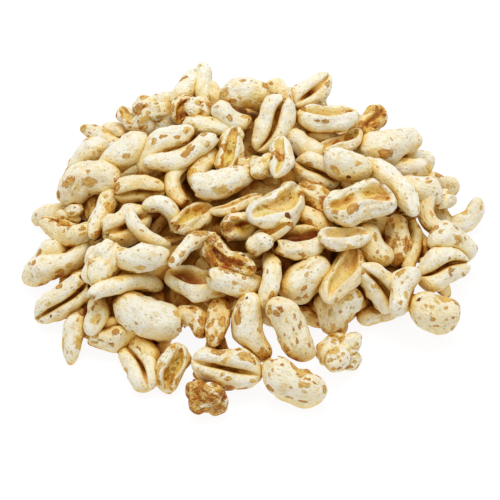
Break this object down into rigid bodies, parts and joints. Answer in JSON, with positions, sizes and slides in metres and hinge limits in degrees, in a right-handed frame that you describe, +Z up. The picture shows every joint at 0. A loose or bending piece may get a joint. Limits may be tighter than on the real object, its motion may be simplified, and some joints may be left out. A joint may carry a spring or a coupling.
{
  "type": "heap of puffed wheat",
  "caption": "Loose low heap of puffed wheat kernels lying on a flat surface, as a ready-to-eat cereal is shown.",
  "frame": {"origin": "on the surface the heap lies on, under the middle of the heap", "axes": "+X to the right as the picture shows it, +Y to the back, +Z up"},
  "size_m": [0.0925, 0.0828, 0.0255],
  "materials": {
    "puffed_wheat": "dry, matt, cream with golden-brown bran patches"
  },
  "bodies": {
    "root": {"puffed_wheat_heap": "puffed_wheat"}
  },
  "joints": []
}
